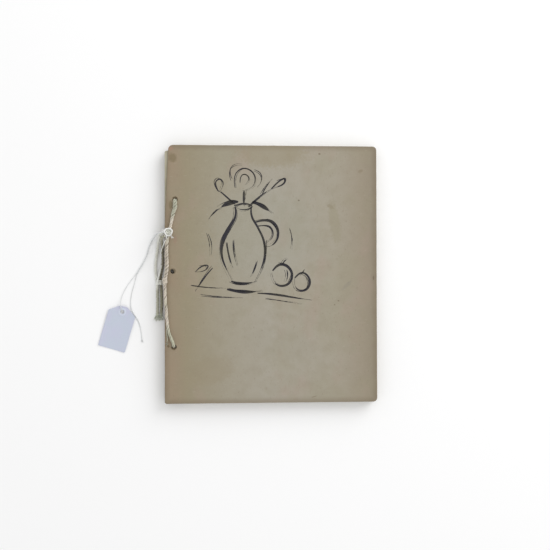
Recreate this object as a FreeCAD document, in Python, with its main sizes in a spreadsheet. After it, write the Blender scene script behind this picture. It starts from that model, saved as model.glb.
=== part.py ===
"""Laced sketchbook with a strung ticket, in millimetres, +Z up.

The book lies flat on its back cover with its spine edge at -X and its head at +Y. A cotton cord
laced through punched holes clamps a strip along the spine: the margin. Covers and leaves bend at
the crease beside it, so each is a clamped margin and a free panel, and a panel turns about the
crease. The origin is the centre of the book's footprint, on the surface that it lies on.
"""

import FreeCAD, Part
import math
import os

import Sketcher
from FreeCAD import Placement, Rotation, Vector

DRIVING_SIZES = {
    # Covers, in plan and in thickness
    "cover_width": 210.0,
    "cover_length": 254.0,
    "cover_thickness": 1.5,
    "fore_corner_radius": 4.0,
    "worn_corner_radius": 5.0,
    "foot_corner_radius": 2.0,
    # The front cover's spine edge is worn back towards the head
    "wear_depth": 3.5,
    "wear_length": 82.0,
    # Leaves
    "leaf_count": 24.0,
    "leaf_thickness": 0.22,
    "leaf_setback": 0.8,
    "clamp_gap": 0.03,
    # Margin and its holes, which were punched by hand and are a little out of line
    "margin_width": 16.0,
    "crease_gap": 0.4,
    "hole_diameter": 5.0,
    "foot_hole_inset": 9.1,
    "foot_hole_y": -71.6,
    "middle_hole_inset": 8.0,
    "middle_hole_y": 2.8,
    "head_hole_inset": 10.2,
    "head_hole_y": 73.4,
    # Lacing
    "cord_diameter": 2.8,
    "cord_bed_clearance": 0.2,
    "hole_bend_radius": 2.9,
    # Knots: each place is in or out from the spine edge and along it from its middle
    "knot_clearance": 0.05,
    "seat_gap": 0.1,
    "tie_knot_inset": 4.1,
    "tie_knot_y": 41.3,
    "tie_lump_radius": 3.9,
    "tie_lump_height": 4.1,
    "crown_radius": 3.0,
    "crown_height": 5.6,
    "front_knot_inset": 0.5,
    "front_knot_y": -6.5,
    "front_knot_radius": 2.7,
    "front_knot_length": 7.0,
    "front_knot_bevel": 0.9,
    "end_knot_outset": 6.1,
    "end_knot_y": -8.5,
    "end_knot_wall": 0.7,
    "end_knot_length": 6.0,
    "end_knot_cover": 1.4,
    "end_knot_lift": 0.05,
    "end_knot_rounding": 1.0,
    # Twine and ticket
    "twine_diameter": 1.6,
    "strand_diameter": 0.8,
    "hitch_wall": 0.95,
    "hitch_thickness": 1.1,
    "hitch_clearance": 0.25,
    "hitch_gap": 0.15,
    "ticket_outset": 41.8,
    "ticket_y": -37.0,
    "ticket_lift": 1.25,
    "ticket_turn": -16.5,
    "ticket_tilt": 1.8,
    "ticket_width": 27.0,
    "ticket_thickness": 0.4,
    "ticket_top_width": 7.0,
    "ticket_hole_diameter": 4.0,
    "ring_diameter": 8.0,
    "ring_thickness": 0.15,
    # Along the ticket, from its hole: to its top edge, its shoulders and its bottom edge
    "ticket_head": 5.5,
    "ticket_shoulder": 1.5,
    "ticket_tail": 38.0,
}

# Heights and places that follow from the driving sizes
BED = "(Sizes.cord_diameter + Sizes.cord_bed_clearance)"
MARGIN_PITCH = "(Sizes.leaf_thickness + Sizes.clamp_gap)"
TOP = f"({BED} + 2 * Sizes.cover_thickness + Sizes.leaf_count * {MARGIN_PITCH})"
FRONT_UNDERSIDE = f"({TOP} - Sizes.cover_thickness)"
PANEL_PITCH = f"(({TOP} - 2 * Sizes.cover_thickness) / Sizes.leaf_count)"
SPINE_X = "(-Sizes.cover_width / 2)"
FORE_X = "(Sizes.cover_width / 2)"
CREASE_X = f"({SPINE_X} + Sizes.margin_width)"
HEAD_Y = "(Sizes.cover_length / 2)"
FOOT_Y = "(-Sizes.cover_length / 2)"
HOLES = [
    (f"({SPINE_X} + Sizes.{name}_hole_inset)", f"Sizes.{name}_hole_y")
    for name in ("foot", "middle", "head")
]

TIE_KNOT_X = f"({SPINE_X} + Sizes.tie_knot_inset)"
KNOT_SEAT = f"({TOP} + Sizes.seat_gap)"
HITCH_Z = f"({KNOT_SEAT} + Sizes.tie_lump_height + Sizes.hitch_gap)"
END_KNOT_X = f"({SPINE_X} - Sizes.end_knot_outset)"
END_KNOT_WIDTH = "(2 * Sizes.cord_diameter + 2 * Sizes.end_knot_wall)"
TICKET_HOLE_X = f"({SPINE_X} - Sizes.ticket_outset)"

# Routes of the cords. Each is a list of hand-placed corner points: x from the spine edge, which is
# negative outside the book, y along the spine from its middle, and z up from the surface.
LACING_ROUTE = [
    (5.3, 42.0, 13.5), (7.2, 48.4, 13.5), (8.5, 57.0, 13.5), (10.4, 65.8, 13.5),
    (10.2, 73.7, 13.5), (10.2, 73.7, 1.5), (9.1, -71.9, 1.5), (9.1, -71.9, 13.5),
    (7.7, -64.8, 13.5), (5.3, -57.6, 13.5), (3.8, -48.6, 13.5), (3.1, -38.8, 13.5),
    (1.7, -27.8, 13.5), (0.9, -17.0, 13.6), (0.4, -6.8, 14.5), (3.2, 3.4, 13.5),
    (3.3, 13.4, 13.5), (3.0, 22.6, 13.5), (3.7, 31.4, 13.5), (4.9, 39.2, 13.5),
]
LACING_HOLE_CORNERS = (4, 5, 6, 7)
OUTER_END_ROUTE = [
    (2.0, 41.9, 13.6), (-2.8, 40.6, 14.6), (-4.8, 37.4, 11.2), (-5.9, 33.2, 6.6),
    (-6.8, 28.0, 2.8), (-7.7, 21.8, 1.5), (-8.8, 14.8, 1.5), (-9.4, 7.6, 1.5),
    (-9.0, 0.6, 1.5), (-8.0, -5.8, 1.5), (-7.5, -12.8, 1.5), (-7.5, -20.8, 1.5),
    (-7.2, -30.0, 1.5), (-7.6, -40.4, 1.5),
]
INNER_END_ROUTE = [
    (2.0, 38.4, 13.6), (-2.4, 36.6, 14.4), (-3.2, 33.0, 10.2), (-2.7, 29.2, 5.6),
    (-2.3, 24.6, 2.5), (-2.0, 18.6, 1.5), (-2.1, 11.8, 1.5), (-2.9, 5.4, 1.5),
    (-4.2, -0.8, 1.5), (-4.8, -6.8, 1.5), (-3.9, -13.8, 1.5), (-3.5, -21.6, 1.5),
    (-3.3, -30.4, 1.5), (-3.9, -40.2, 1.5),
]
TWINE_ROUTE = [
    (-0.2, 41.0, 16.9), (-4.6, 40.4, 17.0), (-7.8, 39.4, 13.0), (-9.6, 38.2, 8.0),
    (-10.8, 36.4, 3.6), (-12.8, 33.0, 0.9), (-15.6, 27.4, 0.9), (-17.2, 19.8, 0.9),
    (-20.5, 12.6, 0.9), (-24.3, 6.4, 0.9), (-28.0, 0.1, 0.9),
]
LEFT_STRAND_ROUTE = [
    (-28.4, 0.3, 0.9), (-33.7, -6.5, 0.5), (-39.0, -14.2, 0.5), (-42.3, -21.6, 0.7),
    (-43.5, -27.6, 2.0), (-43.3, -32.2, 3.1), (-42.0, -35.6, 3.1), (-41.8, -37.0, 1.4),
    (-40.6, -37.9, 0.5), (-37.9, -37.7, 0.5), (-34.6, -36.0, 0.5),
]
RIGHT_STRAND_ROUTE = [
    (-27.6, -0.1, 0.9), (-28.9, -4.8, 0.5), (-30.5, -11.0, 0.5), (-32.7, -18.2, 0.5),
    (-33.8, -25.4, 0.5), (-33.9, -32.2, 0.5), (-31.3, -38.7, 0.5), (-26.6, -45.0, 0.5),
    (-24.2, -52.4, 0.5), (-23.2, -59.2, 0.5), (-22.6, -65.0, 0.5),
]

doc = FreeCAD.newDocument("Sketchbook")


def fill_sheet(driving_sizes):
    sheet = doc.addObject("Spreadsheet::Sheet", "Sizes")
    for row, (alias, size) in enumerate(driving_sizes.items(), start=1):
        sheet.set(f"A{row}", alias)
        sheet.set(f"B{row}", str(size))
        sheet.setAlias(f"B{row}", alias)
    doc.recompute()
    return sheet


sizes = fill_sheet(DRIVING_SIZES)


def value(expression):
    """The number that an expression on the sheet gives."""
    return float(sizes.evalExpression(expression))


def bind(obj, **expressions):
    """Bind an object's properties, such as Length, or its place by x, y and z."""
    for name, expression in expressions.items():
        path = f"Placement.Base.{name}" if name in "xyz" else name
        obj.setExpression(path, str(expression))
    return obj


# --- Features -------------------------------------------------------------------------------


def sketch_on(body, name):
    sketch = body.newObject("Sketcher::SketchObject", name)
    plane = next(f for f in body.Origin.OriginFeatures if f.Role == "XY_Plane")
    sketch.AttachmentSupport = (plane, [""])
    sketch.MapMode = "FlatFace"
    return sketch


def place_point(sketch, geometry, point, name, x, y):
    """Tie a sketch point to the sketch's origin by two bound distances."""
    for direction, expression in (("X", x), ("Y", y)):
        datum = f"{name}_{direction.lower()}"
        constraint = Sketcher.Constraint(
            f"Distance{direction}", -1, 1, geometry, point, value(expression)
        )
        sketch.renameConstraint(sketch.addConstraint(constraint), datum)
        sketch.setExpression(f"Constraints.{datum}", expression)


def draw_outline(sketch, corners):
    """A closed outline of straight edges. Each corner is a pair of expressions."""
    points = [Vector(value(x), value(y), 0) for x, y in corners]
    count = len(points)
    for i in range(count):
        sketch.addGeometry(Part.LineSegment(points[i], points[(i + 1) % count]), False)
    for i in range(count):
        sketch.addConstraint(Sketcher.Constraint("Coincident", i, 2, (i + 1) % count, 1))
    for i, (x, y) in enumerate(corners):
        place_point(sketch, i, 1, f"corner_{i}", x, y)


def draw_circle(sketch, name, x, y, diameter):
    circle = Part.Circle(Vector(value(x), value(y), 0), Vector(0, 0, 1), value(diameter) / 2)
    geometry = sketch.addGeometry(circle, False)
    place_point(sketch, geometry, 3, name, x, y)
    constraint = Sketcher.Constraint("Diameter", geometry, value(diameter))
    sketch.renameConstraint(sketch.addConstraint(constraint), f"{name}_diameter")
    sketch.setExpression(f"Constraints.{name}_diameter", diameter)


def padded_body(label, corners, thickness, base_z):
    body = doc.addObject("PartDesign::Body", label)
    body.Label = label
    outline = sketch_on(body, f"{label}_outline")
    draw_outline(outline, corners)
    pad = body.newObject("PartDesign::Pad", f"{label}_pad")
    pad.Profile = outline
    bind(pad, Length=thickness)
    bind(body, z=base_z)
    doc.recompute()
    return body


def punch_holes(body, holes):
    """Pocket round holes up through a padded body, and make sure that they cut."""
    before = body.Shape.Volume
    sketch = sketch_on(body, f"{body.Label}_holes")
    for i, (x, y, diameter) in enumerate(holes):
        draw_circle(sketch, f"hole_{i}", x, y, diameter)
    pocket = body.newObject("PartDesign::Pocket", f"{body.Label}_punching")
    pocket.Profile = sketch
    pocket.Type = "ThroughAll"
    pocket.Midplane = True
    doc.recompute()
    if not body.Shape.Volume < before:
        raise RuntimeError(f"the holes of {body.Label} cut nothing")


def round_corners(body, corners, radius):
    """Fillet the upright edges that stand at the given corners of a padded body."""
    feet = [Vector(value(x), value(y), 0) for x, y in corners]
    solid = body.Tip
    names = []
    for i, edge in enumerate(solid.Shape.Edges, start=1):
        ends = [Vector(v.Point.x, v.Point.y, 0) for v in edge.Vertexes]
        upright = len(ends) == 2 and ends[0].isEqual(ends[1], 1e-6)
        if upright and any(ends[0].isEqual(foot, 1e-6) for foot in feet):
            names.append(f"Edge{i}")
    fillet = body.newObject("PartDesign::Fillet", f"{body.Label}_corners_{len(body.Group)}")
    fillet.Base = (solid, names)
    bind(fillet, Radius=radius)
    doc.recompute()


def cylinder(name, radius, height, base):
    solid = doc.addObject("Part::Cylinder", name)
    x, y, z = base
    return bind(solid, Radius=radius, Height=height, x=x, y=y, z=z)


def tube_path(points, radii):
    """A wire of straight runs joined by tangent arcs, one arc of its own radius per corner."""
    edges = []
    start = points[0]
    for before, corner, after, radius in zip(points, points[1:], points[2:], radii):
        back = (before - corner).normalize()
        ahead = (after - corner).normalize()
        half_turn = (math.pi - back.getAngle(ahead)) / 2
        reach = radius * math.tan(half_turn)
        arc_start = corner + back * reach
        arc_end = corner + ahead * reach
        inward = (back + ahead).normalize()
        middle = corner + inward * (radius / math.cos(half_turn) - radius)
        edges.append(Part.LineSegment(start, arc_start).toShape())
        edges.append(Part.Arc(arc_start, middle, arc_end).toShape())
        start = arc_end
    edges.append(Part.LineSegment(start, points[-1]).toShape())
    return Part.Wire(edges)


def corner_radii(points, hole_corners):
    """0.45 of the shorter run over the tangent of half the turn, but a hole's own bend in a hole."""
    radii = []
    for i, (before, corner, after) in enumerate(zip(points, points[1:], points[2:]), start=1):
        if i in hole_corners:
            radii.append(value("Sizes.hole_bend_radius"))
            continue
        back, ahead = before - corner, after - corner
        half_turn = (math.pi - back.getAngle(ahead)) / 2
        radii.append(0.45 * min(back.Length, ahead.Length) / math.tan(half_turn))
    return radii


def cord_tube(route, diameter, hole_corners=()):
    """A round tube of the given diameter along a route, its path and the radii of its bends."""
    spine = value(SPINE_X)
    points = [Vector(spine + x, y, z) for x, y, z in route]
    radii = corner_radii(points, hole_corners)
    path = tube_path(points, radii)
    section = Part.Wire(Part.Circle(points[0], points[1] - points[0], diameter / 2).toShape())
    return path.makePipeShell([section], True, False), path, radii


def add_cord(label, route, diameter, hole_corners=()):
    """A cord's plain tube as a sub-part. Prints its length, its bends and its volume check."""
    tube, path, radii = cord_tube(route, diameter, hole_corners)
    expected = math.pi * diameter**2 / 4 * path.Length
    print(
        f"{label}: length {path.Length:.1f}, bends {[round(r, 1) for r in radii]},"
        f" volume {tube.Volume:.2f} of {expected:.2f}"
    )
    feature = doc.addObject("Part::Feature", label)
    feature.Label = label
    feature.Shape = tube
    return feature


# --- Covers ---------------------------------------------------------------------------------


def front_cover_margin():
    crease_side = f"{CREASE_X} - Sizes.crease_gap"
    worn_head = (f"{SPINE_X} + Sizes.wear_depth", HEAD_Y)
    foot = (SPINE_X, FOOT_Y)
    body = padded_body(
        "front_cover_margin",
        [foot, (crease_side, FOOT_Y), (crease_side, HEAD_Y), worn_head,
         (SPINE_X, f"{HEAD_Y} - Sizes.wear_length")],
        "Sizes.cover_thickness",
        FRONT_UNDERSIDE,
    )
    punch_holes(body, [(x, y, "Sizes.hole_diameter") for x, y in HOLES])
    round_corners(body, [worn_head], "Sizes.worn_corner_radius")
    round_corners(body, [foot], "Sizes.foot_corner_radius")
    return body


def back_cover_margin():
    crease_side = f"{CREASE_X} - Sizes.crease_gap"
    foot, head = (SPINE_X, FOOT_Y), (SPINE_X, HEAD_Y)
    body = padded_body(
        "back_cover_margin",
        [foot, (crease_side, FOOT_Y), (crease_side, HEAD_Y), head],
        "Sizes.cover_thickness",
        BED,
    )
    punch_holes(body, [(x, y, "Sizes.hole_diameter") for x, y in HOLES])
    round_corners(body, [foot, head], "Sizes.foot_corner_radius")
    return body


def cover_panel(label, base_z):
    foot, head = (FORE_X, FOOT_Y), (FORE_X, HEAD_Y)
    body = padded_body(
        label,
        [(CREASE_X, FOOT_Y), foot, head, (CREASE_X, HEAD_Y)],
        "Sizes.cover_thickness",
        base_z,
    )
    round_corners(body, [foot, head], "Sizes.fore_corner_radius")
    return body


# --- Leaves ---------------------------------------------------------------------------------


def leaf_box(name, x, length, z):
    box = doc.addObject("Part::Box", name)
    return bind(
        box,
        Length=length,
        Width="Sizes.cover_length - 2 * Sizes.leaf_setback",
        Height="Sizes.leaf_thickness",
        x=x,
        y=f"{FOOT_Y} + Sizes.leaf_setback",
        z=z,
    )


def leaf_panel(number):
    """The free part of one leaf. Leaf 1 lies under the front cover."""
    label = f"leaf_{number:02d}"
    slack = f"({PANEL_PITCH} - Sizes.leaf_thickness) / 2"
    panel = leaf_box(
        label,
        CREASE_X,
        "Sizes.cover_width - Sizes.margin_width - Sizes.leaf_setback",
        f"{FRONT_UNDERSIDE} - {number} * {PANEL_PITCH} + {slack}",
    )
    panel.Label = label
    return panel


def leaf_margins(count):
    """The clamped strips of all the leaves, punched together."""
    strips = [
        leaf_box(
            f"margin_strip_{number:02d}",
            SPINE_X,
            "Sizes.margin_width - Sizes.crease_gap",
            f"{FRONT_UNDERSIDE} - {number} * {MARGIN_PITCH} + Sizes.clamp_gap / 2",
        )
        for number in range(1, count + 1)
    ]
    stack = doc.addObject("Part::Compound", "margin_strips")
    stack.Links = strips
    punches = doc.addObject("Part::MultiFuse", "margin_punches")
    punches.Shapes = [
        cylinder(f"punch_{i}", "Sizes.hole_diameter / 2", TOP, (x, y, "0"))
        for i, (x, y) in enumerate(HOLES)
    ]
    margins = doc.addObject("Part::Cut", "leaf_margins")
    margins.Label = "leaf_margins"
    margins.Base = stack
    margins.Tool = punches
    return margins


# --- Lacing, knots and free ends ------------------------------------------------------------


def knot_cut(label, lump, cords):
    """The lump with room for the cords that run through it, cut one cord at a time."""
    diameter = value("Sizes.cord_diameter + 2 * Sizes.knot_clearance")
    knot = lump
    for number, (route, hole_corners) in enumerate(cords, start=1):
        passage = doc.addObject("Part::Feature", f"{label}_passage_{number}")
        passage.Shape = cord_tube(route, diameter, hole_corners)[0]
        last = number == len(cords)
        cut = doc.addObject("Part::Cut", label if last else f"{label}_cut_{number}")
        cut.Base, cut.Tool = knot, passage
        knot = cut
    knot.Label = label
    return knot


def tie_knot():
    """A round lump on the front cover, with a narrower crown that the twine is hitched round."""
    base = (TIE_KNOT_X, "Sizes.tie_knot_y", KNOT_SEAT)
    lump = cylinder("tie_lump", "Sizes.tie_lump_radius", "Sizes.tie_lump_height", base)
    crown = cylinder("tie_crown", "Sizes.crown_radius", "Sizes.crown_height", base)
    whole = doc.addObject("Part::Fuse", "tie_whole")
    whole.Base, whole.Tool = lump, crown
    cords = [(LACING_ROUTE, LACING_HOLE_CORNERS), (OUTER_END_ROUTE, ()), (INNER_END_ROUTE, ())]
    return knot_cut("tie_knot", whole, cords)


def front_knot():
    """A small barrel on the front run, lying along Y."""
    base = (
        f"{SPINE_X} + Sizes.front_knot_inset",
        "Sizes.front_knot_y + Sizes.front_knot_length / 2",
        f"{KNOT_SEAT} + Sizes.front_knot_radius",
    )
    lump = cylinder("front_knot_lump", "Sizes.front_knot_radius", "Sizes.front_knot_length", base)
    lump.Placement.Rotation = Rotation(Vector(1, 0, 0), 90)
    bevel = value("Sizes.front_knot_bevel")
    rounded = doc.addObject("Part::Chamfer", "front_knot_rounded")
    rounded.Base = lump
    rounded.Edges = [(end_edge, bevel, bevel) for end_edge in (1, 3)]
    return knot_cut("front_knot", rounded, [(LACING_ROUTE, LACING_HOLE_CORNERS)])


def end_knot():
    """A rounded lump that holds the two free ends side by side."""
    lump = bind(
        doc.addObject("Part::Box", "end_knot_lump"),
        Length=END_KNOT_WIDTH,
        Width="Sizes.end_knot_length",
        Height="Sizes.cord_diameter + Sizes.end_knot_cover",
        x=f"{END_KNOT_X} - {END_KNOT_WIDTH} / 2",
        y="Sizes.end_knot_y - Sizes.end_knot_length / 2",
        z="Sizes.end_knot_lift",
    )
    doc.recompute()
    rounded = doc.addObject("Part::Fillet", "end_knot_rounded")
    rounded.Base = lump
    radius = value("Sizes.end_knot_rounding")
    rounded.Edges = [
        (i, radius, radius) for i, edge in enumerate(lump.Shape.Edges, start=1)
        if edge.BoundBox.ZMax > lump.Shape.CenterOfMass.z
    ]
    return knot_cut("end_knot", rounded, [(OUTER_END_ROUTE, ()), (INNER_END_ROUTE, ())])


def lacing_group():
    diameter = value("Sizes.cord_diameter")
    return [
        add_cord("lacing", LACING_ROUTE, diameter, LACING_HOLE_CORNERS),
        add_cord("outer_end", OUTER_END_ROUTE, diameter),
        add_cord("inner_end", INNER_END_ROUTE, diameter),
        tie_knot(),
        front_knot(),
        end_knot(),
    ]


# --- Ticket and its twine -------------------------------------------------------------------


def hitch_ring():
    """The twine's turns round the tie knot's crown."""
    base = (TIE_KNOT_X, "Sizes.tie_knot_y", HITCH_Z)
    inner = "Sizes.crown_radius + Sizes.hitch_clearance"
    outer = f"{inner} + Sizes.hitch_wall"
    ring = doc.addObject("Part::Cut", "hitch_ring")
    ring.Label = "hitch_ring"
    ring.Base = cylinder("hitch_outer", outer, "Sizes.hitch_thickness", base)
    ring.Tool = cylinder("hitch_bore", inner, "Sizes.hitch_thickness", base)
    return ring


def ticket_placement():
    """The ticket lies on its strings, so it is tilted, its bottom edge near the surface."""
    hole = Vector(value(TICKET_HOLE_X), value("Sizes.ticket_y"), value("Sizes.ticket_lift"))
    turn = Rotation(Vector(0, 0, 1), value("Sizes.ticket_turn"))
    tilt = Rotation(Vector(1, 0, 0), value("Sizes.ticket_tilt"))
    return Placement(hole, turn.multiply(tilt))


def ticket_card():
    half, top_half = "Sizes.ticket_width / 2", "Sizes.ticket_top_width / 2"
    head, shoulder, tail = "Sizes.ticket_head", "-Sizes.ticket_shoulder", "-Sizes.ticket_tail"
    body = padded_body(
        "ticket_card",
        [(f"-{half}", tail), (half, tail), (half, shoulder),
         (top_half, head), (f"-{top_half}", head), (f"-{half}", shoulder)],
        "Sizes.ticket_thickness",
        "0",
    )
    punch_holes(body, [("0", "0", "Sizes.ticket_hole_diameter")])
    body.setExpression("Placement.Base.z", None)
    body.Placement = ticket_placement()
    return body


def ticket_ring():
    base = ("0", "0", "Sizes.ticket_thickness")
    ring = doc.addObject("Part::Cut", "ticket_ring")
    ring.Label = "ticket_ring"
    ring.Base = cylinder("ring_outer", "Sizes.ring_diameter / 2", "Sizes.ring_thickness", base)
    bore = "Sizes.ticket_hole_diameter / 2"
    ring.Tool = cylinder("ring_bore", bore, "Sizes.ring_thickness", base)
    ring.Placement = ticket_placement()
    return ring


def ticket_group():
    strand_diameter = value("Sizes.strand_diameter")
    return [
        hitch_ring(),
        add_cord("ticket_twine", TWINE_ROUTE, value("Sizes.twine_diameter")),
        add_cord("left_strand", LEFT_STRAND_ROUTE, strand_diameter),
        add_cord("right_strand", RIGHT_STRAND_ROUTE, strand_diameter),
        ticket_card(),
        ticket_ring(),
    ]


# --- Whole book -----------------------------------------------------------------------------


def build():
    count = int(round(value("Sizes.leaf_count")))
    parts = [
        front_cover_margin(),
        back_cover_margin(),
        cover_panel("front_cover", FRONT_UNDERSIDE),
        cover_panel("back_cover", "0"),
        leaf_margins(count),
    ]
    parts += [leaf_panel(number) for number in range(1, count + 1)]
    parts += lacing_group()
    parts += ticket_group()
    doc.recompute()
    return parts


def check(parts):
    failed = [o.Name for o in doc.Objects if {"Invalid", "Error"} & set(o.State)]
    if failed:
        raise RuntimeError(f"failed objects: {failed}")
    for part in parts:
        if part.Shape.isNull() or not part.Shape.isValid() or part.Shape.Volume <= 0:
            raise RuntimeError(f"{part.Label} has no valid solid")


def export(parts):
    os.makedirs("parts", exist_ok=True)
    for part in parts:
        part.Shape.exportStep(f"parts/{part.Label}.step")


book = build()
check(book)
export(book)
print(f"{len(book)} sub-parts, {value(TOP):.2f} thick")
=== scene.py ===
"""Looks of a laced sketchbook with a strung ticket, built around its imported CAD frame."""

import math
import random

import bmesh
import bpy
import numpy as np
from mathutils import Matrix, Vector
from mathutils.geometry import delaunay_2d_cdt

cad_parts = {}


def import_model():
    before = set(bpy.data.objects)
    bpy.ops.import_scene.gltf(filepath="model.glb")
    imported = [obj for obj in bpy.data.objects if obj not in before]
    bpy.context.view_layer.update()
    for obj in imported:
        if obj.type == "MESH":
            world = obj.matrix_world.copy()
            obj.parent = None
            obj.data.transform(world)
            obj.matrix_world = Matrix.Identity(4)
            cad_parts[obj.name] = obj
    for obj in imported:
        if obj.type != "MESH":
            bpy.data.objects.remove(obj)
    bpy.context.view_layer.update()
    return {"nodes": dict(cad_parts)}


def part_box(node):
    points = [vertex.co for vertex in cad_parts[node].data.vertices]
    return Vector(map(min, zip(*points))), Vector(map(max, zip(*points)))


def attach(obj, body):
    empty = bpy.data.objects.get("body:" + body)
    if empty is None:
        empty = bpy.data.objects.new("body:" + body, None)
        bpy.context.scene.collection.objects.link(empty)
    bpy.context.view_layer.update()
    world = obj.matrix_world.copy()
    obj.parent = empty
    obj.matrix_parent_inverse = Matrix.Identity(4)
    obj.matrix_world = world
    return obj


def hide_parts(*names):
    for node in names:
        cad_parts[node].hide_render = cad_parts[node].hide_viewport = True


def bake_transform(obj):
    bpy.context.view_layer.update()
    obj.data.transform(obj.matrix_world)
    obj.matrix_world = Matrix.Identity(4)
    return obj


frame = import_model()
MM = 0.001


# --- Places taken from the frame ------------------------------------------------------------


def corners(node):
    low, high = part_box(node)
    return Vector(low), Vector(high)


cover_low, cover_high = corners("front_cover")
margin_low, _ = corners("front_cover_margin")
back_low, _ = corners("back_cover")
back_margin_low, back_margin_high = corners("back_cover_margin")
leaf_low, leaf_high = corners("leaf_01")
tie_low, tie_high = corners("tie_knot")
hitch_low, hitch_high = corners("hitch_ring")

SPINE_X, FORE_X = margin_low.x, cover_high.x
FOOT_Y, HEAD_Y = cover_low.y, cover_high.y
CREASE_X = cover_low.x
TOP_Z, FRONT_UNDERSIDE_Z = cover_high.z, cover_low.z
BOARD = TOP_Z - FRONT_UNDERSIDE_Z
LEAVES = sorted(n for n in frame["nodes"] if n.startswith("leaf_") and n != "leaf_margins")
LEAF = leaf_high.z - leaf_low.z
MARGIN_STACK = FRONT_UNDERSIDE_Z - back_margin_high.z

# Binding holes: how far each is in from the spine edge, and its place along the spine
HOLE_RADIUS = 2.5 * MM
HOLE_PLACES = [(9.1, -71.6), (8.0, 2.8), (10.2, 73.4)]
HOLES = [((SPINE_X + x * MM, y * MM), HOLE_RADIUS) for x, y in HOLE_PLACES]

# A sheet follows the binding up to BEND_START and its own panel from BEND_END
# Sheets drop from the pressed margin to the looser pages between these two lines
DROP_START = CREASE_X - 5.0 * MM
DROP_END = CREASE_X + 12.0 * MM


# --- Shader expressions ---------------------------------------------------------------------


def feed(tree, socket, source):
    """A socket takes a link from another socket or a Field, or a plain value."""
    source = getattr(source, "socket", source)
    if isinstance(source, bpy.types.NodeSocket):
        tree.links.new(source, socket)
    else:
        socket.default_value = source


def linear(red, green, blue):
    """An sRGB colour from 0 to 255 as linear RGBA."""
    def channel(c):
        c /= 255
        return c / 12.92 if c <= 0.04045 else ((c + 0.055) / 1.055) ** 2.4
    return (channel(red), channel(green), channel(blue), 1.0)


class Field:
    """A socket whose value takes Python's operators. Each operator adds a Math node."""

    def __init__(self, shade, socket):
        self.shade, self.socket = shade, socket

    def math(self, operation, *others):
        return self.shade.math(operation, self, *others)

    def __add__(self, other): return self.math("ADD", other)
    def __radd__(self, other): return self.math("ADD", other)
    def __sub__(self, other): return self.math("SUBTRACT", other)
    def __rsub__(self, other): return self.shade.math("SUBTRACT", other, self)
    def __mul__(self, other): return self.math("MULTIPLY", other)
    def __rmul__(self, other): return self.math("MULTIPLY", other)
    def __truediv__(self, other): return self.math("DIVIDE", other)
    def __pow__(self, other): return self.math("POWER", other)

    def clamped(self):
        return self.math("MINIMUM", 1.0).math("MAXIMUM", 0.0)

    def step(self, low, high):
        """0 below low, 1 above high, smooth between. low may be above high."""
        return self.shade.node(
            "ShaderNodeMapRange", {"interpolation_type": "SMOOTHSTEP"},
            {"Value": self, "From Min": low, "From Max": high},
        )


class Shade:
    """A material under construction."""

    def __init__(self, name):
        self.material = bpy.data.materials.new(name)
        self.material.use_nodes = True
        self.tree = self.material.node_tree
        self.tree.nodes.clear()
        self.output = self.tree.nodes.new("ShaderNodeOutputMaterial")
        self.at = self.node("ShaderNodeTexCoord", {}, {}, "Object")

    def node(self, kind, settings=None, inputs=None, result=0):
        """Any node: its settings first, then its sockets, by values or links."""
        node = self.tree.nodes.new(kind)
        for name, setting in (settings or {}).items():
            if name == "stops":
                self.fill_ramp(node.color_ramp, setting)
            else:
                setattr(node, name, setting)
        for name, source in (inputs or {}).items():
            feed(self.tree, node.inputs[name], source)
        return Field(self, node.outputs[result])

    @staticmethod
    def fill_ramp(ramp, stops):
        while len(ramp.elements) < len(stops):
            ramp.elements.new(1.0)
        for element, (position, color) in zip(ramp.elements, stops):
            element.position, element.color = position, color

    def math(self, operation, *terms):
        return self.node("ShaderNodeMath", {"operation": operation}, dict(enumerate(terms)))

    def vector(self, operation, *terms, result=0):
        inputs = dict(enumerate(terms))
        return self.node("ShaderNodeVectorMath", {"operation": operation}, inputs, result)

    def axes(self, place=None):
        split = self.node("ShaderNodeSeparateXYZ", {}, {"Vector": place or self.at}).socket.node
        return [Field(self, s) for s in split.outputs]

    def noise(self, scale, detail=3.0, roughness=0.5, place=None):
        return self.node("ShaderNodeTexNoise", {}, {
            "Vector": place or self.at, "Scale": scale, "Detail": detail, "Roughness": roughness,
        })

    def stretched(self, x, y, z, place=None):
        return self.vector("MULTIPLY", place or self.at, (x, y, z))

    def mix(self, share, first, second):
        """Colours: first where share is 0, second where it is 1."""
        inputs = {0: share, 6: first, 7: second}
        return self.node("ShaderNodeMix", {"data_type": "RGBA"}, inputs, 2)

    def over(self, base, pattern, low, high, strength, *rgb):
        """The base colour with another laid on it where the pattern goes from low to high."""
        return self.mix(pattern.step(low, high) * strength, base, linear(*rgb))

    def from_edges(self, x, y):
        """How far a place on a cover or leaf is from the nearest edge."""
        edge_x = (x - SPINE_X).math("MINIMUM", FORE_X - x)
        edge_y = (y - FOOT_Y).math("MINIMUM", HEAD_Y - y)
        return edge_x.math("MINIMUM", edge_y)

    def bump(self, height, distance, strength):
        inputs = {"Height": height, "Distance": distance, "Strength": strength}
        return self.node("ShaderNodeBump", {}, inputs)

    def finish(self, color, roughness, normal, sheen=0.0, specular=0.3, alpha=None):
        inputs = {
            "Base Color": color, "Roughness": roughness, "Normal": normal,
            "Sheen Weight": sheen, "Specular IOR Level": specular,
        }
        if alpha:
            inputs["Alpha"] = alpha
        surface = self.node("ShaderNodeBsdfPrincipled", {}, inputs)
        self.tree.links.new(surface.socket, self.output.inputs["Surface"])
        return self.material


# --- Materials ------------------------------------------------------------------------------

# How deep the bump of card, paper and yarn is, in metres
TOOTH = 0.00012

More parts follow.
